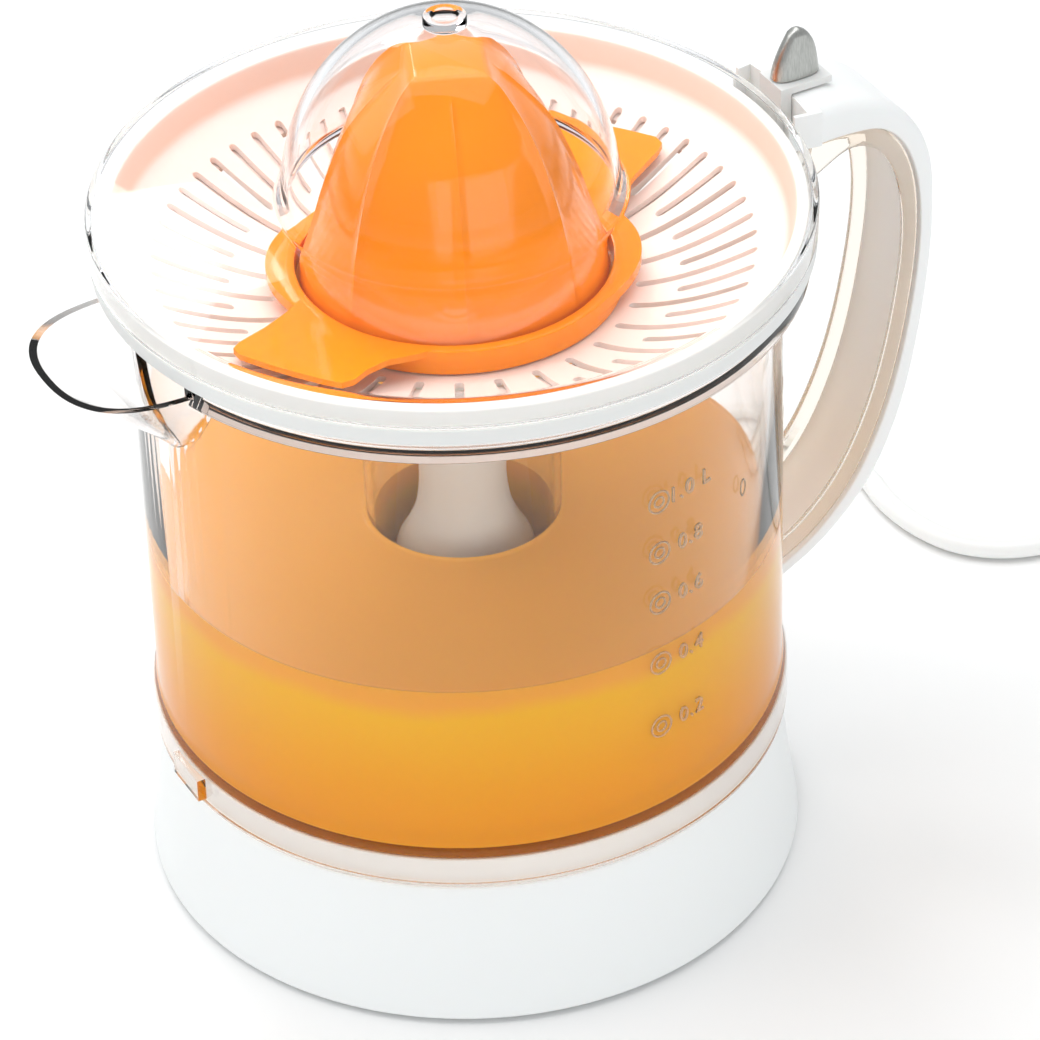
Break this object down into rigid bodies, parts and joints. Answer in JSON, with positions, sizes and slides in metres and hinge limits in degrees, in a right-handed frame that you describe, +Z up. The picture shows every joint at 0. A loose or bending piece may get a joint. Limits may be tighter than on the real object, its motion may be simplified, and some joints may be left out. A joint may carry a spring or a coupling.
{
  "type": "citrus press juicer",
  "caption": "Electric citrus press: motor base, lift-off clear jug with handle and spout, strainer with pulp selector, turning cone and clear dust cover.",
  "frame": {"origin": "on the spindle's axis, at the surface that the feet stand on, just under the middle of the base plate", "axes": "+Z up along the spindle, +X towards the handle, so the spout points along -X"},
  "size_m": [0.3479, 0.1894, 0.211],
  "materials": {
    "white_abs": "satin moulded",
    "rubber_foot": "matt",
    "steel": "turned",
    "nylon": "natural",
    "black_plastic": "matt",
    "copper_winding": "enamelled wire",
    "brass_pinion": "machined",
    "clear_jug": "polished clear",
    "clear_cover": "polished clear",
    "strainer_white": "satin moulded",
    "brushed_silver": "brushed",
    "orange_plastic": "glossy moulded",
    "cord_pvc": "satin",
    "plug_nickel": "nickel plated"
  },
  "bodies": {
    "base": {"motor_housing": "white_abs", "base_plate": "white_abs", "foot_1": "rubber_foot", "foot_2": "rubber_foot", "foot_3": "rubber_foot", "foot_4": "rubber_foot", "screw_1": "steel", "screw_2": "steel", "screw_3": "steel", "screw_4": "steel", "gear_plate": "nylon", "motor_can": "steel", "motor_cap": "black_plastic", "motor_coil": "copper_winding", "gear_axle": "steel", "tower_bush": "brass_pinion", "start_switch": "black_plastic", "cord_gland": "cord_pvc", "cord_run": "cord_pvc", "cord_coil": "cord_pvc", "cord_tail": "cord_pvc", "mains_plug": "cord_pvc", "plug_pin_1": "plug_nickel", "plug_pin_2": "plug_nickel"},
    "motor": {"motor_rotor": "steel", "motor_pinion": "brass_pinion"},
    "middle_gear": {"compound_gear": "nylon"},
    "output": {"output_gear": "nylon", "return_spring": "steel"},
    "spindle": {"drive_spindle": "steel"},
    "plunger": {"switch_plunger": "brass_pinion"},
    "jug_unit": {"jug": "clear_jug", "handle_cover": "white_abs", "handle_grip": "clear_jug"},
    "strainer_unit": {"strainer": "strainer_white"},
    "selector": {"pulp_selector": "strainer_white", "lever_fin": "brushed_silver"},
    "cover": {"dust_cover": "clear_cover"},
    "sweeper": {"pulp_sweeper": "orange_plastic"},
    "cone": {"reamer_cone": "orange_plastic"}
  },
  "joints": [
    {"name": "drive_spin", "type": "hinge", "parent": "base", "child": "output", "pos_m": [0, 0, 0], "axis": [0, 0, 1], "continuous": true},
    {"name": "middle_spin", "type": "hinge", "parent": "base", "child": "middle_gear", "pos_m": [-0.0264, 0, 0], "axis": [0, 0, 1], "continuous": true},
    {"name": "motor_spin", "type": "hinge", "parent": "base", "child": "motor", "pos_m": [-0.0264, -0.0264, 0], "axis": [0, 0, 1], "continuous": true},
    {"name": "spindle_press", "type": "slide", "parent": "output", "child": "spindle", "axis": [0, 0, 1], "range_m": [-0.002, 0], "stiffness_N_per_m": 1500, "springref_m": 0.004, "deforming": ["return_spring"]},
    {"name": "switch_press", "type": "slide", "parent": "base", "child": "plunger", "axis": [0, 0, 1], "range_m": [-0.002, 0]},
    {"name": "jug_lift", "type": "slide", "parent": "base", "child": "jug_unit", "axis": [0, 0, 1], "range_m": [0, 0.13]},
    {"name": "strainer_lift", "type": "slide", "parent": "jug_unit", "child": "strainer_unit", "axis": [0, 0, 1], "range_m": [0, 0.06]},
    {"name": "cover_lift", "type": "slide", "parent": "strainer_unit", "child": "cover", "axis": [0, 0, 1], "range_m": [0, 0.06]},
    {"name": "pulp_lever", "type": "hinge", "parent": "strainer_unit", "child": "selector", "pos_m": [0, 0, 0.15], "axis": [0, 0, 1], "range_deg": [-4.5, 4.5]},
    {"name": "sweeper_spin", "type": "hinge", "parent": "strainer_unit", "child": "sweeper", "pos_m": [0, 0, 0.15], "axis": [0, 0, 1], "continuous": true},
    {"name": "cone_press", "type": "slide", "parent": "sweeper", "child": "cone", "axis": [0, 0, 1], "range_m": [-0.002, 0]}
  ],
  "couplings": [
    {"joint": "middle_spin", "follows": "drive_spin", "ratio": -3},
    {"joint": "motor_spin", "follows": "drive_spin", "ratio": 9},
    {"joint": "sweeper_spin", "follows": "drive_spin", "ratio": 1},
    {"joint": "switch_press", "follows": "spindle_press", "ratio": 1},
    {"joint": "cone_press", "follows": "spindle_press", "ratio": 1}
  ]
}
